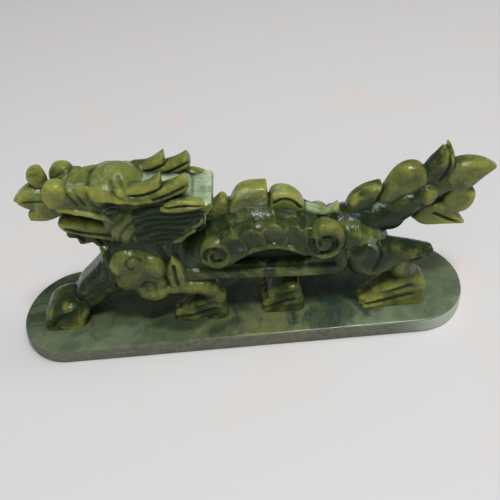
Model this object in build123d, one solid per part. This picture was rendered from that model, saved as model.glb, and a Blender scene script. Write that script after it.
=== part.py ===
"""A walking dragon carved in green jade on a round-ended slab.

Millimetres. +Z is up and the dragon faces -X. The origin is the centre of the slab's underside.
The dragon's left side is -Y. Nearly every feature is a flat relief of the carving block, so most
solids are an outline in the X-Z plane with a thickness across Y. Each carved feature is a solid of
its own, cut back from its neighbours so that the faces meet along the carver's grooves.
"""
import os

from build123d import *

os.makedirs("parts", exist_ok=True)

# Driving dimensions of the slab
SLAB_LENGTH = 200.0
SLAB_WIDTH = 54.0
SLAB_THICKNESS = 7.0
SLAB_END = 23.0  # how far each rounded end reaches along X
SLAB_EDGE = 0.6  # rounded arris

# Half thicknesses of the carving across Y
HEAD_HALF = 10.5
NAPE_HALF = 12.0
CORE_HALF = 10.0  # torso, chest and rump behind the relief
FLANK_HALF = 14.5  # the scroll panels are the widest part of the body

solids = {}  # node name -> solid, in the order in which they were carved
claims = []  # the blocks of stone those solids were cut from, before their edges were rounded


def edge_between(points, y):
    """A straight edge through two points, or a smooth one through more."""
    vectors = [Vector(x, y, z) for x, z in points]
    return Line(*vectors) if len(vectors) == 2 else Spline(*vectors)


def outline(points, y=0.0, corners=()):
    """A closed face through (x, z) points. It is smooth except at the points numbered in corners."""
    if not corners:
        return Face(Wire([Spline(*[Vector(x, y, z) for x, z in points], periodic=True)]))
    count = len(points)
    starts = sorted(corners)
    spans = zip(starts, starts[1:] + [starts[0] + count])
    edges = [edge_between([points[i % count] for i in range(a, b + 1)], y) for a, b in spans]
    return Face(Wire(edges))


def relief(points, y_low, y_high, edge=0.0, corners=()):
    """An outline carried across Y, first as a block, then with its two rims rounded by edge."""
    middle, half = (y_low + y_high) / 2, (y_high - y_low) / 2
    block = extrude(outline(points, middle, corners), amount=half, dir=(0, 1, 0), both=True)
    if not edge:
        return block, block
    rims = [e for e in block.edges() if abs(abs(e.center().Y - middle) - half) < 1e-3]
    return fillet(rims, edge), block


def pebble(x, y, z, along_x, along_y, along_z, tilt=0.0):
    """An ellipsoid, tilted nose up by tilt degrees in the X-Z plane."""
    egg = Pos(x, y, z) * Rot(0, tilt, 0) * scale(Sphere(1), by=(along_x, along_y, along_z))
    return egg, egg


def limb(stations):
    """A loft through (x, y, z, half width across Y, half depth, heading) ellipses."""
    sections = []
    for x, y, z, across, depth, heading in stations:
        direction = Vector(1, 0, 0).rotate(Axis.Y, -heading)
        plane = Plane(origin=(x, y, z), x_dir=(0, 1, 0), z_dir=direction)
        sections.append(plane * Ellipse(across, depth))
    taper = loft(sections)
    return taper, taper


def apart(one, other):
    """True where two bounding boxes have no point in common."""
    return (
        one.min.X > other.max.X or one.max.X < other.min.X
        or one.min.Y > other.max.Y or one.max.Y < other.min.Y
        or one.min.Z > other.max.Z or one.max.Z < other.min.Z
    )


def carve(name, shapes):
    """Keep a solid under its name, cut back to the blocks its earlier neighbours were cut from."""
    solid, block = shapes
    box = solid.bounding_box()
    neighbours = [claim for claim in claims if not apart(box, claim.bounding_box())]
    if neighbours:
        solid = solid - neighbours
    solids[name] = max(solid.solids(), key=lambda piece: piece.volume)
    claims.append(block)


def carve_left(name, shapes):
    """Carve shapes that were drawn on the dragon's right side as their mirror image on the left."""
    carve(name, [mirror(shape, Plane.XZ) for shape in shapes])


def carve_pair(name, shapes):
    """Carve a feature of the dragon's right side, and its mirror image on the left."""
    carve_left(f"{name}_left", shapes)
    carve(f"{name}_right", shapes)


# ---- the slab ---------------------------------------------------------------------------------


def slab():
    half, straight = SLAB_WIDTH / 2, SLAB_LENGTH / 2 - SLAB_END
    with BuildSketch() as plan:
        Rectangle(2 * straight, SLAB_WIDTH)
        for x in (-straight, straight):
            with Locations((x, 0)):
                Ellipse(SLAB_END, half)
    body = extrude(plan.sketch, amount=SLAB_THICKNESS)
    rims = body.faces().sort_by(Axis.Z)[-1].edges() + body.faces().sort_by(Axis.Z)[0].edges()
    return fillet(rims, SLAB_EDGE), body


# ---- the body -----------------------------------------------------------------------------------


def torso():
    points = [
        (-26, 27), (-8, 24.5), (18, 24), (42, 25), (47, 33), (45, 42), (36, 48), (26, 53.5),
        (14, 57), (3, 56), (-8, 52.5), (-16, 48), (-21, 40), (-25, 34),
    ]
    return relief(points, -CORE_HALF, CORE_HALF, 0.8)


def flank_panel():
    """The side panel hangs over the belly between two scrolls, with an arch between them."""
    points = [
        (-14.5, 42.5), (-11, 47.5), (0, 50.5), (14, 51), (26, 48.5), (37, 46.5), (44, 44),
        (46, 41.5), (43, 35.5), (37, 34), (31, 36), (25, 40), (16, 42.5), (7, 41), (0.5, 37),
        (-6, 34.7), (-12, 37),
    ]
    return relief(points, CORE_HALF - 2, FLANK_HALF, 1.5)


def scroll(x, z, radius):
    """A raised volute at one end of a flank panel, with a ring cut around its eye."""
    face = Plane(origin=(x, FLANK_HALF + 1, z), z_dir=(0, 1, 0))
    block = extrude(face * Circle(radius), amount=CORE_HALF - FLANK_HALF - 1)
    ring = extrude(face * (Circle(radius - 2.2) - Circle(radius - 3.6)), amount=-1.0)
    return fillet(block.edges(), 0.8) - ring, block


def rump():
    points = [(44, 26), (54, 24.5), (63, 27), (65, 34), (62, 41), (56, 47), (48, 51), (42, 48), (41, 36)]
    return relief(points, -12, 12, 2.0)


def chest():
    points = [
        (-51, 24), (-40, 21), (-28, 23), (-21, 32), (-17, 44), (-20, 54), (-32, 57), (-46, 54),
        (-54, 46), (-55, 34),
    ]
    return relief(points, -CORE_HALF, CORE_HALF, 3.0)


# ---- the head -----------------------------------------------------------------------------------


def skull():
    points = [
        (-48, 56), (-53, 66), (-51, 74), (-44, 76.5), (-34, 74.5), (-24, 73), (-15, 71),
        (-13, 62), (-20, 54), (-34, 52),
    ]
    return relief(points, -HEAD_HALF, HEAD_HALF, 2.5)


def nape():
    """The flat-topped block behind the horns, where the mane meets the neck."""
    points = [(-22, 68), (-6, 67), (-5.5, 64), (-14, 53), (-24, 49)]
    return relief(points, -NAPE_HALF, NAPE_HALF, 0.8, corners=(0, 1, 2, 3, 4))


def upper_jaw():
    points = [
        (-71.5, 69), (-69, 75), (-63, 77), (-55, 76), (-45, 75), (-40, 66), (-41, 59),
        (-48, 62.5), (-58, 66), (-67, 67),
    ]
    return relief(points, -HEAD_HALF + 0.5, HEAD_HALF - 0.5, 0.9)


def nose_bud():
    points = [(-85, 70), (-82, 74), (-76, 75.5), (-70, 73.5), (-69, 68), (-75, 65), (-82, 66.5)]
    return relief(points, -5.5, 5.5, 1.5)


def nose_curl_top():
    points = [(-78.5, 79), (-77, 82), (-73, 81.5), (-71.5, 77), (-72, 72.5), (-77, 73.5)]
    return relief(points, -4, 4, 1.0)


def nose_curl_under():
    points = [(-79, 62.5), (-78, 66.5), (-71, 68.5), (-65, 67.5), (-67, 63.5), (-73, 61.5)]
    return relief(points, -6, 6, 0.8)


def nostril():
    return pebble(-66.5, 6.5, 75, 5.6, 5, 5.4, tilt=10)


def brow():
    points = [(-53.5, 71), (-52, 77), (-46, 80.3), (-39, 79.3), (-35, 75), (-39, 70), (-47, 68)]
    return relief(points, 0.6, 11.5, 2.0)


def eye():
    """Oval eye under the brow."""
    face = Plane(origin=(-44, HEAD_HALF + 1.3, 70), z_dir=(0, 1, 0))
    block = extrude(face * Ellipse(4.2, 2.2), amount=-2.5)
    return fillet(block.edges(), 0.5), block


def horn():
    """Swept-back horn with two points."""
    points = [
        (-41, 72), (-38, 76.5), (-31, 76.5), (-24, 79), (-24, 74.7), (-19, 75.7), (-14.3, 77),
        (-14, 73.2), (-20, 70), (-30, 68), (-38, 68.3),
    ]
    return relief(points, 5, 12.5, corners=(3, 4, 6, 7))


def cheek():
    return pebble(-41, 9, 60, 10, 5.2, 8.5, tilt=15)


def cheek_mane():
    """Swept-back hair of the cheek, ending in three points."""
    points = [
        (-39, 67), (-24, 67), (-11, 65.5), (-15, 61), (-10, 58), (-16, 55), (-22, 52), (-33, 50.5),
        (-38, 53),
    ]
    return relief(points, 8, 13, 1.0, corners=(0, 2, 3, 4, 5, 8))


def mane_lock():
    points = [(-26, 67), (-20, 70.2), (-13, 69.8), (-7, 67), (-8, 65.8), (-14, 64.5), (-22, 64.5)]
    return relief(points, 9, 13.5, 0.5)


def lower_jaw():
    points = [
        (-69, 60.5), (-68, 57.5), (-64, 55), (-56, 52), (-46, 49.5), (-38, 51), (-37, 55),
        (-45, 57.5), (-56, 60.5), (-65, 62.5),
    ]
    return relief(points, -8.5, 8.5, 1.2)


def chin_beard():
    points = [
        (-67, 57), (-66.5, 51), (-63.5, 51), (-62, 48), (-57.5, 48.5), (-55, 46), (-48, 47),
        (-45, 52), (-55, 55),
    ]
    return relief(points, -6, 6, 0.5, corners=(0, 2, 4, 7))


# ---- the legs -------------------------------------------------------------------------------------

GROUND = SLAB_THICKNESS


def front_right_leg():
    """Steps forward. Its shoulder is on the right, and its paw is as wide as the block."""
    carve("front_right_shoulder", pebble(-41, 8.5, 35, 12, 7.5, 14.5, tilt=-10))
    forearm = [
        (-52, 43), (-58, 37), (-65, 30), (-71, 24), (-77, 17), (-75, 10), (-66, 12), (-56, 18),
        (-48, 26),
    ]
    carve("front_right_forearm", relief(forearm, -8.5, 8.5, 1.2))
    paw = [(-87, GROUND), (-88, 12), (-85, 17.5), (-79, 20.5), (-72, 19), (-68, 13), (-70, GROUND)]
    carve("front_right_paw", relief(paw, -14, 5, 1.8, corners=(0, 6)))


def front_left_leg():
    """Braced back: shoulder, elbow, forearm lying back to the wrist, then the foot forward."""
    carve("front_left_shoulder", pebble(-41, -8.5, 35.5, 12, 7.5, 15, tilt=-10))
    carve("front_left_elbow", pebble(-36.5, -11.5, 24, 7, 4.5, 4.8, tilt=8))
    tuft = [(-28, 26), (-29, 34), (-25.5, 41.5), (-21, 35), (-20.5, 26)]
    carve("front_left_elbow_tuft", relief(tuft, -13.5, -8.5, 0.6, corners=(0, 2, 4)))
    forearm = [
        (-32, 21.5), (-31, 27.5), (-20, 28), (-12, 26.5), (-7.5, 21), (-8, 15), (-14, 15),
        (-15, 20), (-22, 21),
    ]
    carve("front_left_forearm", relief(forearm, -14, -6, 1.5))
    foot = [(-28.5, GROUND), (-29.5, 11), (-25, 14.5), (-16, 17.5), (-9, 18), (-5.5, 13), (-6, GROUND)]
    carve("front_left_foot", relief(foot, -16, -4, 1.8, corners=(0, 6)))


def hind_right_leg():
    """Steps forward. Its thigh is on the right, and its foot reaches across under the belly."""
    thigh = [(24, 25), (30, 33), (42, 37), (52, 33), (50, 24), (38, 20), (28, 19)]
    carve("hind_right_thigh", relief(thigh, 5, 14, 2.5))
    shin = [(21, 15), (20, 21), (24, 27), (32, 28), (33, 21), (29, 14)]
    carve("hind_right_shin", relief(shin, -9, 9, 2.0))
    foot = [(9.5, GROUND), (9, 11.5), (13, 16), (21, 20), (28, 19), (31, 12), (30, GROUND)]
    carve("hind_right_foot", relief(foot, -15, 6, 2.0, corners=(0, 6)))


def hind_left_leg():
    """Braced back: thigh out to the pointed hock, shin, then the foot forward."""
    thigh = [
        (48, 27), (48, 36), (55, 40), (64, 37.5), (74, 34.8), (82.5, 31.8), (81.5, 30), (74, 27.5),
        (67, 24.5), (57, 22.5),
    ]
    carve("hind_left_thigh", relief(thigh, -15, -4, 0.8))
    shin = [(66, 20), (66, 27), (74, 30), (77, 27), (77, 20), (72, 16)]
    carve("hind_left_shin", relief(shin, -14.5, -5, 1.8))
    foot = [(53, GROUND), (52, 11.5), (57, 16), (66, 21), (75, 22), (81, 17), (81, GROUND)]
    carve("hind_left_foot", relief(foot, -17, -4, 1.8, corners=(0, 6)))


# ---- crest and tail -------------------------------------------------------------------------------


def crest_plates():
    """Four plates along the back, from the nape to the root of the tail."""
    plates = (
        ([(-9, 48), (-7, 57), (-2, 62.5), (0, 51)], (0, 2, 3), 3.8, 0.6),
        ([(-2, 53), (0.5, 60), (4.5, 64.5), (10, 66), (16, 66), (16, 55)], (0, 4, 5), 5.0, 1.2),
        ([(16, 54), (18, 61.5), (23, 63), (28, 60), (31, 55), (31, 50), (24, 52)], (0, 5), 5.0, 1.0),
        ([(29.5, 47), (31, 53.5), (35, 52.5), (38.5, 50.5), (42, 51), (45, 53.5), (45.5, 44), (38, 44.5)],
         (0, 5, 6), 3.0, 0.6),
    )
    for number, (points, corners, half, edge) in enumerate(plates, 1):
        carve(f"crest_plate_{number}", relief(points, -half, half, edge, corners=corners))


def tail():
    joint = (70, 0, 49, 7.5, 8.5, 25)
    carve("tail_root", limb([(50, 0, 44, 10, 9, 20), (60, 0, 46, 8.5, 9, 15), joint]))
    carve("tail_shaft", limb([joint, (79, 0, 53.5, 6.5, 7.5, 32), (90, 0, 61, 4.5, 5, 35)]))
    lobes = (
        ("tail_crest_lobe_1",
         [(46, 48), (49, 54), (55, 58), (62, 60), (61, 55), (56, 51)], (0, 3), 4.5, 0.7),
        ("tail_crest_lobe_2",
         [(62, 54), (63.5, 60), (67.5, 66), (73, 68.5), (78.5, 66.5), (80.5, 61), (77, 56), (69, 52.5)],
         (), 5.0, 1.0),
        ("tail_crest_lobe_3",
         [(77, 59), (80, 66.5), (84, 71.5), (88, 75.5), (90, 71), (90.5, 65), (87, 60)], (0, 3), 4.5, 1.2),
        ("tail_flame_tip",
         [(87, 60), (90, 67), (97, 68.5), (103, 67), (108, 64), (103, 59.5), (98, 55), (92, 54)],
         (0, 4), 4.5, 1.2),
        ("tail_under_lobe_1",
         [(88, 50), (90, 56), (96, 57), (100, 53), (100, 48), (96, 45), (90, 45)], (), 4.5, 1.5),
        ("tail_under_lobe_2",
         [(76, 42), (80, 39), (89, 39), (97, 38.5), (94.5, 43), (88, 48), (80, 47)], (0, 3), 4.5, 1.0),
    )
    for name, points, corners, half, edge in lobes:
        carve(name, relief(points, -half, half, edge, corners=corners))


def build():
    carve("base_slab", slab())
    carve("torso", torso())
    carve_pair("front_scroll", scroll(-7, 42.3, 7.4))
    carve_left("rear_scroll_left", scroll(37.8, 43.8, 8.6))
    carve("rear_scroll_right", scroll(37.4, 39.5, 7.0))
    carve_pair("flank_panel", flank_panel())
    carve("rump", rump())
    carve("chest", chest())
    carve("skull", skull())
    carve("nape", nape())
    carve("upper_jaw", upper_jaw())
    carve("nose_bud", nose_bud())
    carve("nose_curl_top", nose_curl_top())
    carve("nose_curl_under", nose_curl_under())
    carve("lower_jaw", lower_jaw())
    carve("chin_beard", chin_beard())
    carve_pair("nostril", nostril())
    carve_pair("brow", brow())
    carve_pair("horn", horn())
    carve_pair("cheek", cheek())
    carve_pair("mane_lock", mane_lock())
    carve_pair("cheek_mane", cheek_mane())
    carve_pair("eye", eye())
    front_left_leg()
    front_right_leg()
    hind_left_leg()
    hind_right_leg()
    crest_plates()
    tail()


build()
for node, shape in solids.items():
    export_step(shape, f"parts/{node}.step")
    print(f"{node:24s} {shape.volume:9.1f} mm3  valid {shape.is_valid}")
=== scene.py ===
"""A walking dragon carved from green jade, on its round-ended slab.

The carving is sculpted as distance fields, in millimetres, in the frame's own axes: +Z up, head at
-X, the dragon's left side at -Y. Each carved feature is a field of its own. The fields are joined
into one skin of stone, and the skin is then meshed feature by feature.
"""
import math

import bpy
import numpy as np
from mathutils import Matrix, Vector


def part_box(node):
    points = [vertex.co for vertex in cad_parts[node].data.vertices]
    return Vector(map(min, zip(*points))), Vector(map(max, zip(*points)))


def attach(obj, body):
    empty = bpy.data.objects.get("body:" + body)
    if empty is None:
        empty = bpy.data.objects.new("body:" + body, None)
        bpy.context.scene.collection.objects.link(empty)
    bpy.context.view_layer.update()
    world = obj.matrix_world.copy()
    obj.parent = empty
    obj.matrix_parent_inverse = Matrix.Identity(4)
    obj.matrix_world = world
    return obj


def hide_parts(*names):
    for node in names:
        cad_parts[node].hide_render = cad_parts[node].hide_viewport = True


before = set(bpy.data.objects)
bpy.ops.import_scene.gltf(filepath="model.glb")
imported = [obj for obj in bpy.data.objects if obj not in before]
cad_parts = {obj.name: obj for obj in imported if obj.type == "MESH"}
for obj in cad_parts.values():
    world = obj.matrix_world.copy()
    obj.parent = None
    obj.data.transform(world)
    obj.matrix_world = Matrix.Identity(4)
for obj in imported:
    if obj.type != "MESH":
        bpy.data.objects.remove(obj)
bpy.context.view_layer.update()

import openvdb
from mathutils import Matrix, Vector

MM = 0.001
VOXEL = 0.42  # edge of one cell of the sampled stone
BLOCK_LOW = (-92.0, -19.0, 5.0)  # the block that the dragon is cut from
BLOCK_HIGH = (112.0, 19.0, 88.0)
REACH = 4.0  # how far from a feature its field is worked out
FAR_AWAY = 6.0  # the distance given to every place that no feature reaches
SLAB_TOP = 7.0
FOOTING = 0.25  # how far the feet are carried into the slab
CURVE_STEPS = 7  # points on a smooth curve between two given ones
COARSE = 2  # the volumes that shade the stone have cells this many times wider


# ---- fields --------------------------------------------------------------------------------------

axes = [np.arange(low, high, VOXEL, dtype=np.float32) for low, high in zip(BLOCK_LOW, BLOCK_HIGH)]
shape = tuple(len(a) for a in axes)


def smooth_line(points, corners=(), closed=True):
    """A Catmull-Rom curve through (x, z) points, with a break at each numbered corner."""
    p = np.array(points, float)
    count = len(p)
    line = []
    for i in range(count if closed else count - 1):
        a, b = p[i], p[(i + 1) % count]
        first = i in corners or (not closed and i == 0)
        last = (i + 1) % count in corners or (not closed and i == count - 2)
        before = a - (b - a) if first else p[i - 1]
        after = b + (b - a) if last else p[(i + 2) % count]
        for t in np.arange(CURVE_STEPS) / CURVE_STEPS:
            line.append(
                0.5 * (2 * a + (b - before) * t + (2 * before - 5 * a + 4 * b - after) * t**2
                       + (3 * a - before - 3 * b + after) * t**3)
            )
    if not closed:
        line.append(p[-1])
    return np.array(line)


def line_distance(line, x, z, closed):
    """Distance in the X-Z plane from every (x, z) to a polyline, and which points it encloses."""
    gx, gz = np.meshgrid(x, z, indexing="ij")
    nearest = np.full(gx.shape, 1e9)
    inside = np.zeros(gx.shape, bool)
    ends = np.roll(line, -1, axis=0) if closed else line[1:]
    for (ax, az), (bx, bz) in zip(line, ends):
        ex, ez = bx - ax, bz - az
        t = np.clip(((gx - ax) * ex + (gz - az) * ez) / (ex * ex + ez * ez + 1e-9), 0, 1)
        nearest = np.minimum(nearest, (gx - ax - t * ex) ** 2 + (gz - az - t * ez) ** 2)
        if closed:
            crosses = (az > gz) != (bz > gz)
            inside ^= crosses & (gx < ax + (gz - az) * ex / (ez + 1e-12))
    return np.sqrt(nearest), inside


class Field:
    """A distance field, negative inside, with the box that it matters in."""

    def __init__(self, low, high, value):
        self.low, self.high, self.value = np.array(low, float), np.array(high, float), value

    def joined(self, other, soft):
        def value(x, y, z):
            return smooth_min(self.value(x, y, z), other.value(x, y, z), soft)

        return Field(np.minimum(self.low, other.low), np.maximum(self.high, other.high), value)

    def without(self, other, soft):
        def value(x, y, z):
            return -smooth_min(-self.value(x, y, z), other.value(x, y, z), soft)

        return Field(self.low, self.high, value)

    def worked(self, tool):
        """The same stone after a tool has taken its depth off the surface."""
        return Field(self.low, self.high, lambda x, y, z: self.value(x, y, z) + tool(x, y, z))


def smooth_min(a, b, soft):
    """The lesser of two distances, with a fillet about soft wide where they are nearly equal."""
    h = np.maximum(soft - np.abs(a - b), 0) / soft
    return np.minimum(a, b) - h * h * soft / 4


def relief(points, y_low, y_high, edge, corners=(), crown=None):
    """An outline in the X-Z plane carried across Y from y_low to y_high.

    It is rounded over by edge inside the outline and by crown across the thickness."""
    line = smooth_line(points, corners)
    middle, half = (y_low + y_high) / 2, (y_high - y_low) / 2
    crown = crown or min(edge, half)

    def value(x, y, z):
        flat, inside = line_distance(line, x[:, 0, 0], z[0, 0, :], True)
        flat = np.where(inside, -flat, flat)[:, None, :]
        u = flat / edge + 1
        v = (np.abs(y - middle) - half) / crown + 1
        rounded = np.hypot(np.maximum(u, 0), np.maximum(v, 0)) + np.minimum(np.maximum(u, v), 0) - 1
        return rounded * min(edge, crown)

    low = (line[:, 0].min(), y_low, line[:, 1].min())
    high = (line[:, 0].max(), y_high, line[:, 1].max())
    return Field(low, high, value)


def pebble(centre, radii, tilt=0.0):
    """An ellipsoid. A positive tilt, in degrees, raises its -X end."""
    c, s = math.cos(math.radians(tilt)), math.sin(math.radians(tilt))
    rx, ry, rz = radii

    def value(x, y, z):
        dx, dy, dz = x - centre[0], y - centre[1], z - centre[2]
        px, pz = dx * c - dz * s, dx * s + dz * c
        k = np.sqrt((px / rx) ** 2 + (dy / ry) ** 2 + (pz / rz) ** 2)
        g = np.sqrt((px / rx**2) ** 2 + (dy / ry**2) ** 2 + (pz / rz**2) ** 2)
        return k * (k - 1) / (g + 1e-6)

    reach = np.array([max(rx, rz), ry, max(rx, rz)])
    return Field(np.array(centre) - reach, np.array(centre) + reach, value)


def limb(stations, across=1.0, soft=2.0):
    """A chain of round cones through (x, y, z, radius), flattened or widened across Y."""
    s = np.array(stations, float)

    def value(x, y, z):
        result = None
        for a, b in zip(s, s[1:]):
            ex, ey, ez = b[0] - a[0], (b[1] - a[1]) / across, b[2] - a[2]
            px, py, pz = x - a[0], (y - a[1]) / across, z - a[2]
            t = np.clip((px * ex + py * ey + pz * ez) / (ex * ex + ey * ey + ez * ez), 0, 1)
            d = np.sqrt((px - t * ex) ** 2 + (py - t * ey) ** 2 + (pz - t * ez) ** 2)
            d = d - (a[3] + t * (b[3] - a[3]))
            result = d if result is None else smooth_min(result, d, soft)
        return result * min(1.0, across)

    r = s[:, 3:]
    low = (s[:, :3] - r * np.array([1, across, 1])).min(axis=0)
    high = (s[:, :3] + r * np.array([1, across, 1])).max(axis=0)
    return Field(low, high, value)


def mirrored(field):
    """The same feature on the other side of the dragon."""
    low, high = field.low.copy(), field.high.copy()
    low[1], high[1] = -field.high[1], -field.low[1]
    return Field(low, high, lambda x, y, z: field.value(x, -y, z))


# ---- the carver's tools --------------------------------------------------------------------------


def grooves(lines, width, depth):
    """V-cuts along curves drawn in the X-Z plane, cut into whatever faces them from either side."""
    curves = [smooth_line(line, closed=False) for line in lines]

    def tool(x, y, z):
        cut = np.zeros((x.shape[0], 1, z.shape[2]))
        for curve in curves:
            away, _ = line_distance(curve, x[:, 0, 0], z[0, 0, :], False)
            cut = np.maximum(cut, np.clip(1 - away / width, 0, 1)[:, None, :])
        return depth * cut * cut * (3 - 2 * cut)

    return tool


def spiral(x, z, radius, turns, start, hand):
    """Points of a spiral from the rim inwards, starting at an angle in degrees.

    It winds from +X towards +Z for a hand of 1, and the other way for -1."""
    count = max(int(turns * 10), 6)
    points = []
    for i in range(count + 1):
        t = i / count
        angle = math.radians(start) + hand * t * turns * 2 * math.pi
        r = radius * (1 - 0.82 * t)
        points.append((x + r * math.cos(angle), z + r * math.sin(angle)))
    return points


def shingles(centres, radius, lift):
    """Overlapping round scales, each raised towards its free edge. The last listed is on top."""

    def tool(x, y, z):
        height = np.zeros((x.shape[0], z.shape[2]))
        for cx, cz in centres:
            away = np.hypot(x[:, 0, 0][:, None] - cx, (z[0, 0, :][None, :] - cz) * 0.92)
            rise = 0.25 + 0.75 * (away / radius) ** 2
            height = np.where(away < radius, rise, height)
        return lift * (0.6 - height)[:, None, :]

    return tool


# ---- the features, by the name of the CAD solid that each one replaces ---------------------------

features = {}
hollows = []


def feature(node, field):
    """One carved feature, under the name of the CAD solid that it replaces."""
    features[node] = field


def pair(name, field):
    """A feature of the dragon's right side and its mirror image on the left."""
    feature(f"{name}_right", field)
    feature(f"{name}_left", mirrored(field))


def hollow(field):
    """A place on both sides where the carver went in behind the surface."""
    hollows.extend([field, mirrored(field)])


# Centres of the round scales on the flank. Each lies over the one behind it, and the lower row
# over the upper one.
UPPER_SCALES = [(37, 50), (29.5, 52), (21.5, 53.5), (12.5, 54), (3.5, 53), (-4.5, 50)]
LOWER_SCALES = [(31, 45), (24.5, 46.5), (16.5, 48), (8, 47), (0, 45)]
BODY_SCALES = UPPER_SCALES[:2] + LOWER_SCALES[:1] + [
    s for two in zip(UPPER_SCALES[2:], LOWER_SCALES[1:]) for s in two
]


def body():
    scales = shingles(BODY_SCALES, 6.2, 1.5)
    trunk = relief(
        [(-26, 27), (-8, 25), (18, 24.5), (42, 25.5), (48, 32), (46, 42), (37, 48.5), (26, 54),
         (14, 57.5), (3, 56.5), (-8, 52.5), (-16, 47), (-21, 40), (-25, 34)],
        -11, 11, 6, crown=7)
    belly = relief(
        [(-26, 33), (-5, 32), (16, 30.6), (30, 29.6), (45, 29), (45, 24.4), (30, 24.2), (16, 25),
         (-5, 26.6), (-26, 28)],
        -12.2, 12.2, 1.5, crown=2)
    feature("torso", trunk.worked(scales).joined(belly, 1.0))
    hollow(relief(
        [(-2, 34), (3, 38.6), (10, 42), (18, 42.4), (25.5, 39.2), (32, 33), (27, 31.2), (16, 31.8),
         (4, 32.8)],
        5.0, 30, 1.4))
    feature("flank_panel_left", mirrored(flank(scales, 0)))
    feature("flank_panel_right", flank(scales, 4.5))
    pair("front_scroll", volute(-6.9, 42.6, 7.6, 200, -1))
    feature("rear_scroll_left", mirrored(volute(37.8, 44.2, 9.2, 160, 1)))
    feature("rear_scroll_right", volute(37.2, 38.6, 6.6, 160, 1))
    hip = relief(
        [(43, 26), (54, 24.5), (64, 27), (66, 34), (62, 41), (56, 46), (48, 48), (41, 46),
         (40, 36)],
        -13, 12, 6, crown=6)
    plates = shingles(
        [(62, 30), (53.5, 28), (60, 37.5), (52, 36.5), (55, 44.5), (47, 45)], 5.6, 1.1)
    feature("rump", hip.worked(plates))
    front = relief(
        [(-52, 24), (-42, 20), (-28, 22), (-20, 31), (-18, 42), (-21, 52), (-32, 55), (-46, 53),
         (-53, 46), (-54.5, 35)],
        -11, 11, 6, crown=6)
    keel = grooves([[(-20, 52), (-24, 44), (-23, 36)], [(-27, 52), (-30, 45), (-27, 38)]], 1.6, 1.1)
    ridge = limb(
        [(-54, 8.5, 47.5, 0.9), (-53, 10, 43, 1.1), (-51.8, 11, 38.5, 1.1), (-52.5, 11.5, 32, 1.1),
         (-52.8, 11.5, 27, 0.9)], soft=1)
    hollow(limb(
        [(-13.5, 14.5, 57, 2.2), (-17, 14.5, 50, 3.2), (-19.4, 14.5, 42, 3.4),
         (-19.6, 14.5, 34, 2.8)]))
    feature("chest", front.worked(keel).joined(ridge, 0.8).joined(mirrored(ridge), 0.8))


def flank(scales, sag):
    """The scaled panel on one flank. Its top edge is lowered towards the tail by about sag."""
    panel = relief(
        [(-15, 42), (-11, 48), (-2, 52.5), (8, 55 - sag / 2), (18, 55 - sag), (28, 52.6 - sag),
         (38, 51 - 1.6 * sag), (45, 48 - 1.6 * sag), (46, 41.5), (43, 36.5), (37, 35), (31, 35.5),
         (25, 41), (17, 43.8), (8, 42.6), (1.5, 38), (-6, 34.5), (-12, 37)],
        6, 14.6, 3.2, crown=5)
    rim = limb(
        [(-1, 13.4, 37.4, 0.9), (3.5, 13.7, 41, 1.2), (10, 13.8, 44, 1.3), (17, 13.8, 44.6, 1.3),
         (24, 13.7, 42.4, 1.2), (29.5, 13.4, 38, 0.9)], soft=1)
    return panel.worked(scales).joined(rim, 0.6)


def volute(x, z, radius, start, hand):
    """A raised scroll on the flank, its channel winding in to a domed eye."""
    angles = np.arange(12) * math.pi / 6
    rim = [(x + 0.92 * radius * math.cos(a), z + radius * math.sin(a)) for a in angles]
    disc = relief(rim, 8, 15.9, 2.6, crown=3.4)
    channel = grooves([spiral(x, z, radius * 0.66, 1.2, start, hand)], radius * 0.21, radius * 0.2)
    eye = pebble((x + 0.3, 14.4, z), (radius * 0.24, 1.6, radius * 0.32), 15)
    return disc.worked(channel).joined(eye, 0.4)


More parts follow.
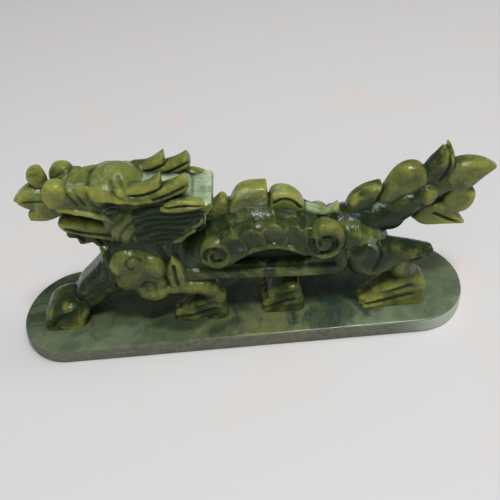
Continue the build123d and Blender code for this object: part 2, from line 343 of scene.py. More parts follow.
def head():
    skull = relief(
        [(-48, 55), (-53, 65), (-51.5, 72), (-46, 75.5), (-34, 73.5), (-24, 71.5), (-15, 69.5),
         (-13, 61), (-20, 53), (-34, 51)],
        -10.5, 10.5, 5, crown=5)
    valley = limb([(-31, 0, 79.5, 3), (-24, 0, 77.8, 3.8), (-12, 0, 75.4, 4.2)], across=1.2)
    feature("skull", skull.without(valley, 2))
    block = relief(
        [(-24, 68), (-6, 67.2), (-5.4, 64.6), (-9.5, 59), (-14, 53), (-19, 49), (-24, 48.5)],
        -12.3, 12.3, 0.8, corners=(0, 1, 2, 5, 6))
    ledges = grooves(
        [[(-22, 57), (-13, 58.6), (-3, 62)], [(-22, 53), (-14, 54.5), (-6, 58)]], 1.3, 1.0)
    feature("nape", block.worked(ledges))
    muzzle = relief(
        [(-70.5, 69), (-69.5, 74), (-63, 77.6), (-57, 77.2), (-50, 75.5), (-43, 75), (-41, 66),
         (-41, 58.5), (-48, 62.8), (-58, 66.2), (-66, 67.6)],
        -10, 10, 2.6, crown=4.2)
    lips = limb(
        [(-66, 9.2, 68.3, 0.8), (-59, 10, 67, 1.1), (-52, 10.4, 64.8, 1.1),
         (-45.5, 10.6, 61.8, 1.1), (-42, 10.6, 57.5, 1.1), (-42.5, 10.2, 52.5, 0.8)], soft=1)
    creases = grooves(
        [[(-62.5, 81), (-60.5, 75), (-58, 70)], [(-58.6, 81), (-57.2, 75), (-55, 70)]], 0.9, 0.45)
    temple = grooves([[(-52, 82), (-53, 76), (-51, 70)]], 2.0, 1.6)
    muzzle = muzzle.worked(creases).worked(temple)
    feature("upper_jaw", muzzle.joined(lips, 0.5).joined(mirrored(lips), 0.5))
    bud = relief(
        [(-85.3, 70.2), (-82, 73.2), (-77, 75.6), (-71.5, 74), (-70.5, 68.5), (-74, 65),
         (-80, 65.8)],
        -5.2, 5.2, 2.8, corners=(0,), crown=4)
    feature("nose_bud", bud.worked(grooves([[(-84, 69.8), (-78, 70.4), (-73, 70)]], 0.9, 0.5)))
    feature("nose_curl_top", relief(
        [(-77, 78.4), (-76.3, 82.2), (-73.8, 83.2), (-71.2, 82.2), (-70.2, 75.6), (-74.2, 74.6)],
        -3.1, 3.1, 1.4, corners=(1,), crown=1.8))
    feature("nose_curl_under", relief(
        [(-80.3, 61.4), (-79.6, 65.5), (-72, 68.5), (-65, 67.6), (-66, 63.4), (-73, 60.6)],
        -5.8, 5.8, 1.3, corners=(0,), crown=2))
    pair("nostril", relief(
        [(-70.6, 71.5), (-70.4, 77), (-67.4, 80), (-62.6, 79.4), (-60.6, 75.4), (-62, 70.6),
         (-67.5, 69.4)],
        3.0, 10.6, 2.4, crown=2.8))
    lid = limb(
        [(-53, 7.8, 76.2, 1.0), (-50.6, 9.6, 73.6, 1.4), (-46, 10.8, 71.8, 1.5),
         (-41, 11.2, 70.7, 1.5), (-35, 11.6, 70.4, 1.3), (-29, 12, 70.6, 0.8)], soft=1)
    bumps = pebble((-47, 7.8, 72.8), (5.8, 4.4, 5.0))
    bumps = bumps.joined(pebble((-39.6, 9, 71.8), (5.0, 4, 4.8)), 0.8)
    dome = pebble((-43.4, 1.6, 71.3), (10.6, 8.6, 9.1))
    frown = grooves(
        [[(-43.6, 77.6), (-42.4, 74.4), (-38.6, 72.0)],
         [(-40.6, 78.4), (-38.8, 75.8), (-35, 74)]], 1.1, 0.7)
    pair("brow", dome.joined(bumps, 1.6).worked(frown).joined(lid, 0.8))
    hollow(limb(
        [(-51.4, 12, 69.8, 1.8), (-46, 12.2, 68.2, 2.8), (-39.5, 12.6, 67, 2.8),
         (-33, 13, 66.8, 1.6)]))
    pair("eye", pebble((-45, 10.4, 66.2), (3.2, 1.5, 1.7), -8))
    horns = relief(
        [(-40, 71), (-38, 75.8), (-31, 76.3), (-23.7, 80.2), (-23.7, 75.4), (-19.5, 76.4),
         (-14.6, 78.6), (-13.6, 76), (-14.2, 73), (-20, 70.4), (-29, 68.2), (-37, 68)],
        4.6, 12.6, 2.0, corners=(3, 4, 6), crown=3.2)
    hair = grooves(
        [[(-38, 73.5), (-31, 73.4), (-24.5, 75.2)], [(-31, 70), (-23, 72), (-15, 75.3)]], 1.0, 0.9)
    pair("horn", horns.worked(hair))
    folds = grooves(
        [[(-49, 54), (-46.5, 59), (-41, 63.5)], [(-45, 51), (-43, 56.5), (-37.5, 61.5)],
         [(-40.5, 49.5), (-38.8, 54.5), (-34, 59)]], 1.3, 0.9)
    pair("cheek", pebble((-41, 8.6, 58), (9.5, 4.4, 9), 12).worked(folds))
    mane = relief(
        [(-38, 66.5), (-24, 66.8), (-9.5, 64.8), (-8.4, 62.6), (-11.8, 58.2), (-16, 53.6),
         (-21, 50.6), (-33, 49.6), (-38, 53)],
        6.5, 13.4, 1.6, corners=(0, 8), crown=2.2)
    strands = grooves(
        [[(-38, 62.6), (-30, 64.8), (-20, 64.2), (-6, 64)],
         [(-38, 60), (-31, 62.2), (-21, 61.6), (-9, 62.4)],
         [(-34, 58.6), (-26, 60), (-17, 58.8), (-7, 60.4)],
         [(-37, 55.4), (-29, 57.2), (-20, 56), (-11, 56.6)],
         [(-32, 53.2), (-25, 54.8), (-17, 53)],
         [(-35, 51.6), (-27, 52.2), (-20, 51)]], 1.2, 0.6)
    pair("cheek_mane", mane.worked(strands))
    lock = relief(
        [(-26, 66.5), (-20, 70), (-13, 69.2), (-6.6, 66.2), (-13.5, 64.6), (-21.5, 64.4)],
        8.6, 14, 1.4, corners=(3,), crown=2.4)
    pair("mane_lock", lock.worked(grooves([[(-25, 67), (-17, 67.6), (-9, 66.4)]], 0.8, 0.8)))
    jaw = relief(
        [(-69, 60.6), (-68, 57), (-64, 54.5), (-56, 51.5), (-46, 49), (-38, 51), (-37, 55),
         (-45, 57.5), (-56, 60), (-65, 62)],
        -8.6, 8.6, 2, crown=3)
    mouth = limb([(-66, 0, 63.5, 3.2), (-56, 0, 62, 4.2), (-44, 0, 59.5, 4.2)], across=1.35)
    under_lip = grooves([[(-66, 58), (-58, 55), (-47, 52.5)]], 1.2, 0.9)
    feature("lower_jaw", jaw.without(mouth, 1).worked(under_lip))
    beard = relief(
        [(-67.5, 57), (-67.5, 52), (-64, 50.8), (-63, 47.6), (-58, 48), (-55.5, 45.5), (-48, 46.5),
         (-45, 52), (-55, 55)],
        -6.3, 6.3, 1.4, corners=(0, 2, 4, 7), crown=2.4)
    wisps = grooves([[(-64, 55), (-61, 50.5)], [(-57, 53), (-54, 48)]], 1.1, 0.9)
    feature("chin_beard", beard.worked(wisps))


TOE_WIDTH = 4.2
TOE_CUT = 0.8  # depth of the cuts between the toes
TOE_GAP_Y = -10.5  # where one of those cuts runs


def claws(rows, z_start, x_toe):
    """Cuts between the toes, along rows on the sides of a paw and down its front.

    The cuts down the front fade out above z_start, and behind x_toe."""
    side = grooves(rows, 1.7, TOE_CUT)

    def cut(x, y, z):
        gap = 0.5 + 0.5 * np.cos((y - TOE_GAP_Y) / TOE_WIDTH * 2 * math.pi)
        front = np.clip((x_toe - x) / 4, 0, 1) * np.clip((z_start - z) / 5 + 1, 0, 1)
        return side(x, y, z) + TOE_CUT * gap**3 * front

    return cut


def shoulder():
    """A knotted shoulder: one mass of muscle with curled lumps on its outer face."""
    lumps = (
        (-42.5, 41.5, 7, 4.6, 25), (-33.5, 36.5, 4.6, 6, -15), (-46, 31.5, 5.6, 5.4, 0),
        (-37, 27.5, 7.4, 4.6, -12), (-48.5, 39, 3.4, 4.6, 0))
    mass = pebble((-41, 7.6, 34.5), (12.3, 6.4, 14.6), -10)
    for x, z, rx, rz, tilt in lumps:
        mass = mass.joined(pebble((x, 11.2, z), (rx, 3.6, rz), tilt), 1.8)
    curls = grooves(
        [spiral(-42, 40.6, 4.4, 0.8, 20, 1), spiral(-36.6, 27.4, 4.0, 0.8, 160, -1)], 1.0, 0.8)
    return mass.worked(curls)


def legs():
    feature("front_right_shoulder", shoulder())
    feature("front_left_shoulder", mirrored(shoulder()))
    feature("front_right_forearm", relief(
        [(-52, 43), (-57, 37.5), (-64, 30.5), (-70, 25), (-73.5, 20), (-77, 16), (-74, 10),
         (-66, 12), (-56, 18), (-48, 26)],
        -8, 8.4, 3.6, crown=5))
    paw = relief(
        [(-86.5, 4), (-88, 11), (-85.6, 16.6), (-80, 20), (-73, 20), (-67.5, 14), (-69.5, 9),
         (-70.5, 4)],
        -13.8, 4.4, 3.2, corners=(0, 7), crown=4.4)
    feature("front_right_paw", paw.worked(claws([[(-84, 9), (-79, 14), (-72, 17)]], 12, -80)))
    elbow = pebble((-36.5, -11.3, 24.3), (7.2, 4.3, 4.9), 8)
    bend = grooves([[(-43, 24), (-38, 21.6), (-32, 22)]], 1.0, 0.8)
    feature("front_left_elbow", elbow.worked(bend))
    tuft = relief(
        [(-28.3, 25), (-29.2, 34), (-25.5, 42), (-21.5, 36), (-21, 25)],
        -13.6, -8.5, 1.6, corners=(0, 2, 4), crown=2.2)
    parting = grooves([[(-25.3, 38), (-25.5, 32), (-25, 26)]], 1.1, 1.0)
    feature("front_left_elbow_tuft", tuft.worked(parting))
    feature("front_left_forearm", limb(
        [(-31, -10, 24.3, 3.3), (-20.5, -10, 24.3, 3.5), (-12.5, -10, 22.3, 4.2),
         (-9.6, -10, 16.5, 4.2)], across=1.05))
    foot = relief(
        [(-28, 4), (-29.3, 10.5), (-25.5, 13.6), (-18, 17), (-11, 18.4), (-5.8, 14), (-5.5, 4)],
        -15.4, -4, 2.8, corners=(0, 6), crown=3.6)
    feature("front_left_foot", foot.worked(claws(
        [[(-28, 8.8), (-20, 10.6), (-11, 13.2)], [(-26, 12), (-18, 14.2), (-11, 16.4)]], 10, -21)))
    feature("hind_right_thigh", relief(
        [(24, 25), (30, 33), (42, 37), (52, 33), (50, 24), (38, 20), (28, 19)],
        4.5, 14, 4, crown=4.5))
    feature("hind_right_shin", limb([(31, 4, 25, 6), (25, 2.6, 19, 5.5)], across=1.3))
    hind_foot = relief(
        [(10, 4), (9.3, 10.5), (13, 15.5), (20, 20.5), (26, 20), (28, 13), (28.5, 4)],
        -14.4, 6, 3, corners=(0, 6), crown=4)
    feature("hind_right_foot", hind_foot.worked(claws(
        [[(10, 9), (17, 12), (24, 13.6)], [(12, 13), (18, 16.4), (25, 18)]], 11, 16)))
    thigh = relief(
        [(48, 26), (47.5, 36), (55, 41), (64, 38.6), (74, 35.6), (83.5, 32.3), (81.5, 30), (74, 28),
         (67, 25), (57, 22.5)],
        -15, -3.5, 3.2, corners=(5,), crown=4.5)
    muscle = grooves([[(80, 31.8), (72, 30), (66, 27)], [(58, 42), (60.5, 35), (58, 27)]], 1.1, 0.9)
    feature("hind_left_thigh", thigh.worked(muscle))
    feature("hind_left_shin", limb(
        [(70, -10, 29, 4.6), (70, -10, 24.5, 4.6), (73, -10, 19, 4.6)], across=1.1))
    long_foot = relief(
        [(52.6, 4), (52, 9.5), (57, 13.8), (65, 19), (72.5, 22.4), (79.5, 19.5), (81.4, 13),
         (80.6, 4)],
        -16.8, -4, 3, corners=(0, 7), crown=4)
    feature("hind_left_foot", long_foot.worked(claws(
        [[(53, 8.4), (63, 10.6), (74, 13)], [(54.5, 11.8), (64, 15), (73, 18)]], 10, 60)))


def crest():
    """The plates along the back: outline, corners, half thickness and the lines cut into each."""
    plates = (
        ([(-11, 50), (-8.4, 57), (-2.8, 62.4), (-0.4, 60.6), (0.4, 52)],
         (0, 2, 4), 3.6, ()),
        ([(-1.5, 53), (0.6, 59), (4, 64.4), (8.4, 66.2), (16.2, 66), (16.4, 55)],
         (0, 4, 5), 4.4, ()),
        ([(16, 54), (17, 60.6), (20, 63), (25, 62.2), (29.2, 58.6), (31, 54), (30.6, 49),
          (24, 51)],
         (0, 6), 4.4, [[(18.5, 58.5), (22, 60), (26, 58.6), (29, 55)]]),
        ([(29.5, 47), (31, 53.2), (35, 52.4), (39.5, 50), (42, 51), (45, 53.4), (45.4, 47),
          (44, 43), (38, 44)],
         (0, 5, 7), 3.0, [[(32, 51), (38, 48.6), (43, 49.6)]]),
    )
    for number, (points, corners, half, lines) in enumerate(plates, 1):
        plate = relief(points, -half, half, 1.4, corners=corners, crown=half * 0.5)
        feature(f"crest_plate_{number}", plate.worked(grooves(lines, 1.0, 0.8)))


def knobbed(stem, knobs):
    """A stem of the tail with rounded knobs on both of its sides."""
    for x, z, r in knobs:
        for side in (-1, 1):
            stem = stem.joined(pebble((x, side * 4.4, z), (r * 1.15, 3.4, r * 0.95), -30), 0.8)
    return stem


def tail():
    """The tail, then its lobes: outline, corners, half thickness, edge and the lines cut in."""
    root = limb([(46, 0, 42, 8.4), (60, 0, 45.6, 7.6), (70, 0, 49.5, 6.8)], across=1.05)
    shaft = limb([(70, 0, 49.5, 6.8), (79, 0, 54.5, 6), (88, 0, 59, 4.6)], across=1.05)
    feature("tail_root", knobbed(root, ((52.9, 44, 5.2), (59, 45, 5.6), (66.5, 45.5, 5.0))))
    feature("tail_shaft", knobbed(shaft, ((71.8, 51.6, 5.4), (79.7, 55.8, 4.6))))
    lobes = (
        ("tail_crest_lobe_1",
         [(46.5, 47), (49.5, 55), (55, 59.5), (62.5, 61.5), (62, 57.6), (57, 50)],
         (0, 3), 4.2, 2.0, ()),
        ("tail_crest_lobe_2",
         [(61, 53), (64, 60.5), (68, 66.6), (73, 69.2), (78, 68), (81.3, 62), (78, 56), (69, 52)],
         (), 4.8, 4.2, ()),
        ("tail_crest_lobe_3",
         [(76, 58), (80, 67.3), (84.2, 72.4), (88.2, 77), (90.4, 71.5), (90.8, 65.5), (86, 59)],
         (0, 3), 4.2, 2.4, [[(87.4, 75), (88, 68), (85, 61.5)]]),
        ("tail_flame_tip",
         [(86, 59), (89.6, 67), (96, 69), (103, 67.6), (108, 64.6), (103, 60.4), (98, 55.8),
          (91, 53.6)],
         (0, 4), 4.4, 2.6, ()),
        ("tail_under_lobe_1",
         [(87, 49.5), (90, 56.5), (96, 57), (100.6, 54), (100.4, 48.5), (96.5, 44.6), (89, 44.8)],
         (), 4.6, 2.6, ()),
        ("tail_under_lobe_2",
         [(75, 43.6), (80, 39.6), (89, 38.7), (98.5, 38), (95.2, 43), (89, 49.5), (80, 50)],
         (0, 3), 4.4, 2.2, [[(84, 46), (89.5, 42.6), (94.5, 40)]]),
    )
    for name, points, corners, half, edge, lines in lobes:
        lobe = relief(points, -half, half, edge, corners=corners, crown=half * 0.8)
        feature(name, lobe.worked(grooves(lines, 1.1, 0.9)))


for part in (body, head, legs, crest, tail):
    part()


# ---- one skin of stone, meshed feature by feature ------------------------------------------------


def window(low, high):
    """Slices of the block around a box, with room to spare."""
    slices = []
    for a, lo, hi in zip(axes, low, high):
        start = max(int(np.searchsorted(a, lo - REACH)), 0)
        slices.append(slice(start, min(int(np.searchsorted(a, hi + REACH)), len(a))))
    return tuple(slices)


def sampled(field):
    """Where in the block a field matters, and its values there."""
    where = window(field.low, field.high)
    x, y, z = np.meshgrid(*(a[s] for a, s in zip(axes, where)), indexing="ij")
    return where, field.value(x, y, z).astype(np.float32)


# Width of the fillet where a feature joins the stone. The eyes are set into their hollows last.
SOFT = {
    "brow_right": 3.0, "brow_left": 3.0, "torso": 1.6, "rump": 1.6, "chest": 1.6,
    "tail_root": 1.2, "tail_shaft": 1.0,
}
SOFT_ELSEWHERE = 0.55
SOFT_HOLLOW = 1.2
SOFT_EYE = 0.4
EYES = ("eye_right", "eye_left")

samples = {node: sampled(field) for node, field in features.items()}
stone = np.full(shape, FAR_AWAY, np.float32)
first = np.full(shape, FAR_AWAY, np.float32)  # distance to the nearest feature
second = np.full(shape, FAR_AWAY, np.float32)  # and to the next nearest
for node, (where, d) in samples.items():
    second[where] = np.minimum(second[where], np.maximum(first[where], d))
    first[where] = np.minimum(first[where], d)
    if node not in EYES:
        stone[where] = smooth_min(stone[where], d, SOFT.get(node, SOFT_ELSEWHERE))
for where, d in map(sampled, hollows):
    stone[where] = -smooth_min(-stone[where], d, SOFT_HOLLOW)
for node in EYES:
    where, d = samples[node]
    stone[where] = smooth_min(stone[where], d, SOFT_EYE)

# The feet run into the slab and end flat in it.
ground = (SLAB_TOP - FOOTING - axes[2])[None, None, :]
stone = np.maximum(stone, ground)


def blurred(volume, radius, passes):
    """A box blur, made nearly Gaussian by more passes."""
    size = 2 * radius + 1
    for axis in range(3):
        pad = [(0, 0)] * 3
        pad[axis] = (radius + 1, radius)
        after, before = [slice(None)] * 3, [slice(None)] * 3
        after[axis], before[axis] = slice(size, None), slice(None, -size)
        for _ in range(passes):
            total = np.cumsum(np.pad(volume, pad, mode="edge"), axis=axis, dtype=np.float64)
            volume = ((total[tuple(after)] - total[tuple(before)]) / size).astype(np.float32)
    return volume


# These volumes also drive the painted glow on thin stone and edges and the painted shade in
# creases.
solid = np.clip(0.5 - stone / VOXEL, 0, 1).astype(np.float32)[::COARSE, ::COARSE, ::COARSE]
bulk = blurred(solid, 3, 3)  # how much stone lies within about 5 mm
close = blurred(solid, 1, 2)  # and within about 1.5 mm


def read_at(volume, points):
    """The value of a coarse volume at points in mm, by trilinear interpolation."""
    at = (points - np.array(BLOCK_LOW)) / (VOXEL * COARSE)
    at = np.clip(at, 0, np.array(volume.shape) - 1.001)
    i = at.astype(int)
    f = at - i
    total = 0
    for corner in np.ndindex(2, 2, 2):
        weight = np.prod(np.where(corner, f, 1 - f), axis=1)
        total = total + weight * volume[tuple((i + corner).T)]
    return total


def mesh_of(name, points, quads, tris=()):
    """A smooth mesh object from points in mm."""
    mesh = bpy.data.meshes.new(name)
    faces = [tuple(q) for q in quads] + [tuple(t) for t in tris]
    mesh.from_pydata([tuple(p * MM) for p in points], [], faces)
    mesh.validate()
    mesh.shade_smooth()
    piece = bpy.data.objects.new(name, mesh)
    bpy.context.scene.collection.objects.link(piece)
    return piece


DIP = 0.14  # how deep a piece lies under its neighbour, once it is DIP_RUN past the border
DIP_RUN = 0.8
OVERLAP = 1.1  # where a piece ends, past the border


def stone_piece(node):
    """The skin of stone where this feature is the nearest, and a little under its neighbours."""
    where, d = samples[node]
    other = np.where(d <= first[where], second[where], first[where])
    border = (d - other) / 2
    dip = np.clip(border / DIP_RUN, 0, 1)
    value = np.maximum(stone[where] + DIP * dip * dip, border - OVERLAP).astype(np.float32)
    value = np.pad(value, 1, constant_values=FAR_AWAY)
    grid = openvdb.FloatGrid(FAR_AWAY)
    grid.copyFromArray(value)
    points, tris, quads = grid.convertToPolygons(isovalue=0.0, adaptivity=0.0)
    start = np.array([a[s.start] for a, s in zip(axes, where)]) - VOXEL
    points = points * VOXEL + start
    piece = mesh_of(f"carved_{node}", points, quads, tris)
    for label, volume in (("bulk", bulk), ("close", close)):
        layer = piece.data.attributes.new(label, "FLOAT", "POINT")
        layer.data.foreach_set("value", read_at(volume, points).astype(np.float32))
    return piece


# ---- the slab ------------------------------------------------------------------------------------


SLAB_END = 23.0  # length of the slab's rounded ends
# How far in from the outline each ring round the slab lies, and how high, from the bottom up.
SLAB_RINGS = (
    (1.4, 0.0), (0.5, 0.12), (0.1, 0.5), (0.0, 1.2), (0.0, 3.4), (0.0, 5.8), (0.12, 6.35),
    (0.45, 6.75), (0.95, 6.95), (1.8, SLAB_TOP), (5.0, SLAB_TOP), (12.0, SLAB_TOP),
    (19.0, SLAB_TOP))


def slab_piece():
    """A sawn slab with rounded ends. Its arris is eased by hand, so it wavers a little."""
    low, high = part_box("base_slab")
    half_x, half_y = (high[0] - low[0]) / 2 / MM, (high[1] - low[1]) / 2 / MM
    thick = (high[2] - low[2]) / MM
    straight = half_x - SLAB_END
    plan = []  # x, y and the outward normal, round the outline
    for side, turn in ((1, -90), (-1, 90)):
        plan += [(x, -side * half_y, 0, -side)
                 for x in np.linspace(-side * straight, side * straight, 60)]
        for a in np.radians(np.linspace(turn, turn + 180, 42)[1:-1]):
            x, y = side * straight + SLAB_END * math.cos(a), half_y * math.sin(a)
            normal = Vector((math.cos(a) * half_y, math.sin(a) * SLAB_END)).normalized()
            plan.append((x, y, normal.x, normal.y))
    points, quads = [], []
    count = len(plan)
    for inset, z in SLAB_RINGS:
        for i, (x, y, nx, ny) in enumerate(plan):
            waver = 0.16 * math.sin(i * 0.31 + 1.3) * math.sin(i * 0.117) + 0.1 * math.sin(i * 0.83)
            if z < SLAB_TOP:
                eased = max(inset + waver * math.sin(math.pi * z / thick * 0.94), 0)
            else:
                eased = inset
            points.append((x - nx * eased, y - ny * eased, z))
    for ring in range(len(SLAB_RINGS) - 1):
        for i in range(count):
            a, b = ring * count + i, ring * count + (i + 1) % count
            quads.append((a, b, b + count, a + count))
    quads.append(tuple(reversed(range(count))))
    quads.append(tuple(range(len(points) - count, len(points))))
    return mesh_of("carved_base_slab", np.array(points, float), quads)


# ---- materials -----------------------------------------------------------------------------------


class Graph:
    """Builds one material's nodes. Its textures are laid out in millimetres."""

    def __init__(self, name):
        self.material = bpy.data.materials.new(name)
        self.material.use_nodes = True
        self.tree = self.material.node_tree
        self.shader = self.tree.nodes["Principled BSDF"]
        coords = self.add("ShaderNodeTexCoord")
        self.place = self.add("ShaderNodeMapping")
        self.place.inputs["Scale"].default_value = (1 / MM, 1 / MM, 1 / MM)
        self.link(coords.outputs["Object"], self.place.inputs["Vector"])

    def add(self, kind, **settings):
        node = self.tree.nodes.new(kind)
        for key, value in settings.items():
            setattr(node, key, value)
        return node

    def link(self, source, target):
        self.tree.links.new(source, target)

    def noise(self, scale, detail=3.0, rough=0.55, distortion=0.0, shift=(0, 0, 0),
              stretch=(1, 1, 1)):
        """Noise whose scale is in cycles per millimetre."""
        move = self.add("ShaderNodeMapping")
        move.inputs["Location"].default_value = shift
        move.inputs["Scale"].default_value = stretch
        self.link(self.place.outputs["Vector"], move.inputs["Vector"])
        node = self.add("ShaderNodeTexNoise")
        node.inputs["Scale"].default_value = scale
        node.inputs["Detail"].default_value = detail
        node.inputs["Roughness"].default_value = rough
        node.inputs["Distortion"].default_value = distortion
        self.link(move.outputs["Vector"], node.inputs["Vector"])
        return node.outputs["Fac"]

    def attribute(self, name):
        """A value that the mesh carries at its points."""
        return self.add("ShaderNodeAttribute", attribute_name=name).outputs["Fac"]

    def facing_up(self):
        """The Z part of the surface's normal: 1 on what faces up, 0 on what is upright."""
        normal = self.add("ShaderNodeNewGeometry")
        parts = self.add("ShaderNodeSeparateXYZ")
        self.link(normal.outputs["Normal"], parts.inputs["Vector"])
        return parts.outputs["Z"]

    def ramp(self, source, low, high, to_low=0.0, to_high=1.0):
        """A smooth step from to_low, where the source is low, to to_high, where it is high."""
        node = self.add("ShaderNodeMapRange", interpolation_type="SMOOTHSTEP")
        node.inputs["From Min"].default_value = low
        node.inputs["From Max"].default_value = high
        node.inputs["To Min"].default_value = to_low
        node.inputs["To Max"].default_value = to_high
        self.link(source, node.inputs["Value"])
        return node.outputs["Result"]

    def times(self, a, b):
        return self.maths("MULTIPLY", a, b)

    def plus(self, a, b):
        return self.maths("ADD", a, b)

    def greater(self, a, b):
        return self.maths("MAXIMUM", a, b)

    def maths(self, operation, a, b):
        node = self.add("ShaderNodeMath", operation=operation)
        for socket, value in zip(node.inputs, (a, b)):
            if isinstance(value, (int, float)):
                socket.default_value = value
            else:
                self.link(value, socket)
        return node.outputs["Value"]

    def mix(self, factor, a, b):
        """Colour a where the factor is 0, and colour b where it is 1."""
        node = self.add("ShaderNodeMix", data_type="RGBA")
        sockets = node.inputs[0], node.inputs[6], node.inputs[7]  # factor, A and B as colours
        for socket, value in zip(sockets, (factor, a, b)):
            if isinstance(value, tuple):
                socket.default_value = (*value, 1.0)
            elif isinstance(value, (int, float)):
                socket.default_value = value
            else:
                self.link(value, socket)
        return node.outputs[2]

    def bump(self, height, strength, distance):
        node = self.add("ShaderNodeBump")
        node.inputs["Strength"].default_value = strength
        node.inputs["Distance"].default_value = distance
        self.link(height, node.inputs["Height"])
        self.link(node.outputs["Normal"], self.shader.inputs["Normal"])


def set_shader(graph, **values):
    """Constants set on the shader's own sockets."""
    for key, value in values.items():
        graph.shader.inputs[key.replace("_", " ")].default_value = value


# The stone's colours, linear. HONEY is painted light, the glow through thin stone and edges.
# DARK is the stone's deep clouds and grain, and also the painted shade in creases.
DARK = (0.014, 0.025, 0.010)
MOSS = (0.060, 0.079, 0.022)
OLIVE = (0.150, 0.172, 0.040)
HONEY = (0.300, 0.305, 0.062)
PALE = (0.430, 0.545, 0.360)


def jade(name, cloud_at, depth, milk, glow, skin=False):
    """Polished serpentine. Its thin parts and edges are painted honey green, a painted glow of the
    light that comes through them.

    cloud_at sets how much of it is moss rather than olive, depth how dark its deep clouds are,
    milk how much of the block's milky outside it has kept, and glow how strongly that painted glow
    shows. With skin, the milk lies only on what faces up, so the milky stone also paints a pale
    sheen of the light from above."""
    g = Graph(name)
    cloud = g.noise(0.06, 5, 0.6, 0.9)
    colour = g.mix(g.ramp(cloud, cloud_at, cloud_at + 0.2), MOSS, OLIVE)
    bulk_at, close_at = g.attribute("bulk"), g.attribute("close")
    honeyed = g.noise(0.09, 3, 0.6, 0.5, shift=(5, 2, 8))
    # Painted glow: where little stone lies within about 5 mm, the colour turns honey, as if lit
    # through.
    thin = g.times(g.ramp(bulk_at, 0.46, 0.27), g.ramp(honeyed, 0.3, 0.62, 0.45, 1))
    colour = g.mix(g.times(thin, glow), colour, HONEY)
    depths = g.noise(0.065, 4, 0.6, 1.2, shift=(13, 5, 9))
    deep = g.ramp(depths, 0.58 - 0.27 * depth, 0.80 - 0.27 * depth)
    colour = g.mix(g.times(deep, depth), colour, DARK)
    drifts = g.noise(0.07, 4, 0.6, 0.8, shift=(40, 21, 3))
    milky = g.ramp(drifts, 0.60 - milk * 0.4, 0.74 - milk * 0.3)
    # Painted light: the milk is kept only on what faces up, a pale sheen of the light from above on
    # milky stone.
    if skin:
        milky = g.times(milky, g.ramp(g.facing_up(), 0.25, 0.75))
    colour = g.mix(g.times(milky, 0.30 + milk * 0.6), colour, PALE)
    grain = g.ramp(g.noise(0.35, 5, 0.7, 0.6), 0.38, 0.70, 0.0, 0.36)
    colour = g.mix(grain, colour, DARK)
    # Painted glow on sharp edges, where little stone lies within about 1.5 mm.
    arris = g.times(g.ramp(close_at, 0.40, 0.28), 0.15 * glow)
    colour = g.mix(arris, colour, HONEY)
    # Painted shade: creases and hollows, where much stone lies close around, are darkened and made
    # rougher.
    shaded_crease = g.greater(g.ramp(close_at, 0.52, 0.66), g.ramp(bulk_at, 0.54, 0.70))
    colour = g.mix(g.times(shaded_crease, 0.82), colour, DARK)
    g.link(colour, g.shader.inputs["Base Color"])
    polish = g.ramp(g.noise(0.25, 3), 0.3, 0.7, 0.05, 0.13)
    rough = g.plus(polish, g.ramp(shaded_crease, 0, 1, 0, 0.25))
    g.link(rough, g.shader.inputs["Roughness"])
    set_shader(g, Subsurface_Weight=0.4, Subsurface_Radius=(1.0, 1.1, 0.35),
               Subsurface_Scale=0.0035, IOR=1.55, Specular_IOR_Level=0.26)
    waves = g.plus(g.noise(0.45, 2), g.times(g.noise(1.6, 3), 0.25))
    g.bump(waves, 0.5, 0.0009)
    return g.material


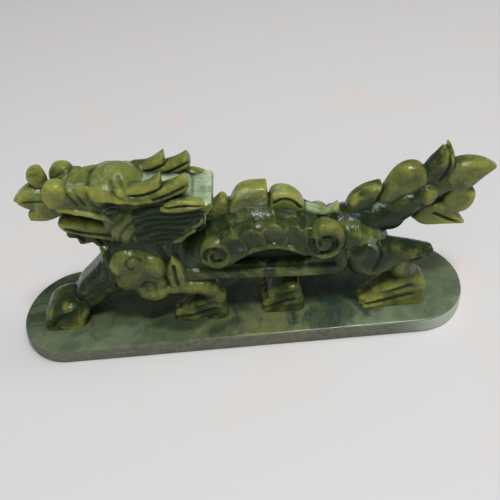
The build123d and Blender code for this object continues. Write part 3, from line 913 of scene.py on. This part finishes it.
def slab_stone():
    """The slab is the same stone with more cloud in it, polished on top but only sawn round it."""
    g = Graph("clouded_slab_jade")
    cloud = g.noise(0.05, 6, 0.66, 1.4)
    colour = g.mix(g.ramp(cloud, 0.40, 0.58), (0.030, 0.047, 0.024), (0.080, 0.101, 0.050))
    along = g.add("ShaderNodeSeparateXYZ")
    g.link(g.place.outputs["Vector"], along.inputs["Vector"])
    x, y = along.outputs["X"], along.outputs["Y"]
    drift = g.ramp(g.noise(0.030, 6, 0.66, 1.2, shift=(7, 31, 0)), 0.2, 0.8, -30, 30)
    where = g.plus(x, drift)
    front = g.ramp(g.plus(y, g.times(drift, 0.3)), -6, -17)
    milk = g.ramp(g.noise(0.05, 5, 0.65, 1.0, shift=(7, 31, 0)), 0.38, 0.62)
    head_end = g.times(g.ramp(where, -30, -50), front)
    tail_end = g.ramp(where, 44, 66)
    pale = g.greater(g.times(head_end, 0.6), g.times(tail_end, 0.85))
    colour = g.mix(g.times(pale, g.ramp(milk, 0, 1, 0.45, 1)), colour, (0.165, 0.203, 0.125))
    vein = g.times(g.ramp(where, -26, -4), g.ramp(where, 30, 12))
    vein = g.times(vein, g.times(front, g.ramp(g.noise(0.09, 3, 0.6), 0.40, 0.58)))
    colour = g.mix(g.times(vein, 0.75), colour, (0.150, 0.160, 0.060))
    # Darker blue-green across the slab from x 14 to 60 mm, under the hind body and legs, most where
    # the cloud is thin.
    dark_under_hindquarters = g.times(g.ramp(where, 14, 26), g.ramp(where, 60, 40))
    dark_under_hindquarters = g.times(dark_under_hindquarters, g.ramp(cloud, 0.62, 0.42, 0.3, 0.9))
    colour = g.mix(dark_under_hindquarters, colour, (0.022, 0.042, 0.034))
    sawn = g.ramp(g.facing_up(), 0.80, 0.30)
    mottle = g.ramp(g.noise(0.4, 4, 0.7), 0.3, 0.7)
    grey = g.mix(mottle, (0.085, 0.088, 0.060), (0.155, 0.160, 0.115))
    grey = g.mix(g.ramp(x, 62, 92), grey, (0.480, 0.540, 0.460))
    colour = g.mix(g.times(sawn, 0.85), colour, grey)
    g.link(colour, g.shader.inputs["Base Color"])
    polish = g.ramp(g.noise(0.2, 3), 0.3, 0.7, 0.24, 0.40)
    g.link(g.plus(polish, g.times(sawn, 0.4)), g.shader.inputs["Roughness"])
    set_shader(g, Subsurface_Weight=0.15, Subsurface_Radius=(1.0, 1.1, 0.5),
               Subsurface_Scale=0.003, IOR=1.5)
    saw = g.noise(0.5, 3, 0.6, 0.0, stretch=(0.2, 0.2, 3.0))
    g.bump(g.times(saw, g.times(sawn, 0.9)), 0.5, 0.0008)
    return g.material


def floor_stone():
    """Pale tile with a faint blush."""
    g = Graph("pale_floor")
    blush = g.ramp(g.noise(0.016, 3, 0.5, 0.8), 0.50, 0.72)
    colour = g.mix(g.times(blush, 0.7), (0.600, 0.590, 0.585), (0.640, 0.570, 0.550))
    g.link(colour, g.shader.inputs["Base Color"])
    set_shader(g, Roughness=0.6)
    return g.material


def dress(piece, node, material):
    """Gives a piece its stone, and the place of its CAD node on the one rigid body."""
    piece.data.materials.append(material)
    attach(piece, "root")
    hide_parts(node)


# Each set is a tone of the one jade, set to how light or dark its pieces look. That is partly
# the stone's own clouding and milk, partly painted shade on pieces in shadow, such as the eyes in
# their hollows, the mane and the far hind leg, and partly painted glow along the edges of the
# rimmed set.
KINDS = (
    (jade("milky_lit_top", 0.36, 0.30, 1.0, 0.2, skin=True), {"nape", "skull"}),
    (jade("milky_jade", 0.36, 0.30, 0.62, 0.6), {"crest_plate_4"}),
    (jade("half_milky_jade", 0.36, 0.36, 0.20, 0.9), {"crest_plate_2", "upper_jaw"}),
    (jade("honey_jade", 0.26, 0.30, 0.08, 1.0), {
        "nose_bud", "nostril_left", "brow_left", "brow_right", "crest_plate_3", "mane_lock_left",
        "mane_lock_right", "tail_under_lobe_1", "tail_under_lobe_2"}),
    # Darkest: the stone's deepest clouds, and painted shade on the eyes in their hollows and on the
    # mane.
    (jade("darkest_jade_and_shade", 0.58, 1.0, 0.0, 0.3), {
        "tail_root", "chest", "front_right_forearm", "hind_left_thigh", "cheek_mane_left",
        "cheek_mane_right", "eye_left", "eye_right"}),
    # The strongest painted glow along thin edges.
    (jade("glow_rimmed_jade", 0.56, 0.90, 0.0, 1.2), {
        "tail_shaft", "tail_crest_lobe_1", "tail_crest_lobe_3", "front_right_paw"}),
    (jade("scroll_jade", 0.50, 0.70, 0.0, 0.5), {"front_scroll_left", "rear_scroll_left"}),
    (jade("deep_green_jade", 0.50, 0.85, 0.0, 0.4), {
        "torso", "flank_panel_left", "flank_panel_right", "front_left_foot", "hind_right_foot",
        "hind_right_thigh", "hind_right_shin", "chin_beard"}),
)
olive = jade("olive_jade", 0.38, 0.55, 0.0, 0.9)  # all that is left

dress(slab_piece(), "base_slab", slab_stone())
for node in features:
    kind = next((kind for kind, nodes in KINDS if node in nodes), olive)
    dress(stone_piece(node), node, kind)


# ---- floor, light and camera ---------------------------------------------------------------------


FLOOR_HALF = 1.6  # m


def floor():
    mesh = bpy.data.meshes.new("floor")
    corners = [(x * FLOOR_HALF, y * FLOOR_HALF, 0) for x, y in ((-1, -1), (1, -1), (1, 1), (-1, 1))]
    mesh.from_pydata(corners, [], [(0, 1, 2, 3)])
    plane = bpy.data.objects.new("floor", mesh)
    bpy.context.scene.collection.objects.link(plane)
    mesh.materials.append(floor_stone())


def area(name, place, target, size, power, colour):
    """A square light, size across, facing its target."""
    light = bpy.data.lights.new(name, "AREA")
    light.shape, light.size, light.energy, light.color = "SQUARE", size, power, colour
    lamp = bpy.data.objects.new(name, light)
    lamp.location = place
    lamp.rotation_euler = (Vector(target) - Vector(place)).to_track_quat("-Z", "Y").to_euler()
    bpy.context.scene.collection.objects.link(lamp)


def daylight(name, direction, spread, power):
    """Soft light from one direction, which the polish does not mirror."""
    day = bpy.data.lights.new(name, "SUN")
    day.energy, day.angle, day.color = power, math.radians(spread), (1.0, 0.995, 0.985)
    sun = bpy.data.objects.new(name, day)
    sun.rotation_euler = Vector(direction).to_track_quat("Z", "Y").to_euler()
    sun.visible_glossy = False
    bpy.context.scene.collection.objects.link(sun)


def lights():
    """Daylight from overhead and the right, a little from the front, and a bright window."""
    daylight("daylight", (0.40, 0.12, 0.91), 34, 1.10)
    daylight("front_fill", (-0.25, -0.85, 0.45), 80, 0.85)
    area("window", (0.24, -0.34, 1.40), (0, 0, 0.03), 0.26, 13.5, (0.97, 0.99, 1.0))
    world = bpy.data.worlds.new("room")
    world.use_nodes = True
    world.node_tree.nodes["Background"].inputs["Color"].default_value = (0.90, 0.95, 1.0, 1)
    world.node_tree.nodes["Background"].inputs["Strength"].default_value = 0.15
    bpy.context.scene.world = world
    bpy.context.scene.view_settings.view_transform = "Standard"


AZIMUTH, ELEVATION, ROLL = 1.936, 39.0, -6.465  # degrees
DISTANCE, TARGET = 270.29, (6.52, 0.0, 32.07)  # mm
LENS, SENSOR = 44.64, 36.0


def camera():
    """A camera DISTANCE from TARGET, AZIMUTH round towards the tail and ELEVATION up."""
    az, el, roll = (math.radians(a) for a in (AZIMUTH, ELEVATION, ROLL))
    back = Vector((math.sin(az) * math.cos(el), -math.cos(az) * math.cos(el), math.sin(el)))
    right = (-back).cross(Vector((0, 0, 1))).normalized()
    up = right.cross(-back)
    x_axis = math.cos(roll) * right + math.sin(roll) * up
    y_axis = math.cos(roll) * up - math.sin(roll) * right
    data = bpy.data.cameras.new("camera")
    data.lens, data.sensor_width, data.clip_start = LENS, SENSOR, 0.01
    eye = bpy.data.objects.new("camera", data)
    turn = Matrix((x_axis, y_axis, back)).transposed().to_4x4()
    eye.matrix_world = Matrix.Translation((Vector(TARGET) + back * DISTANCE) * MM) @ turn
    bpy.context.scene.collection.objects.link(eye)
    bpy.context.scene.camera = eye


floor()
lights()
camera()
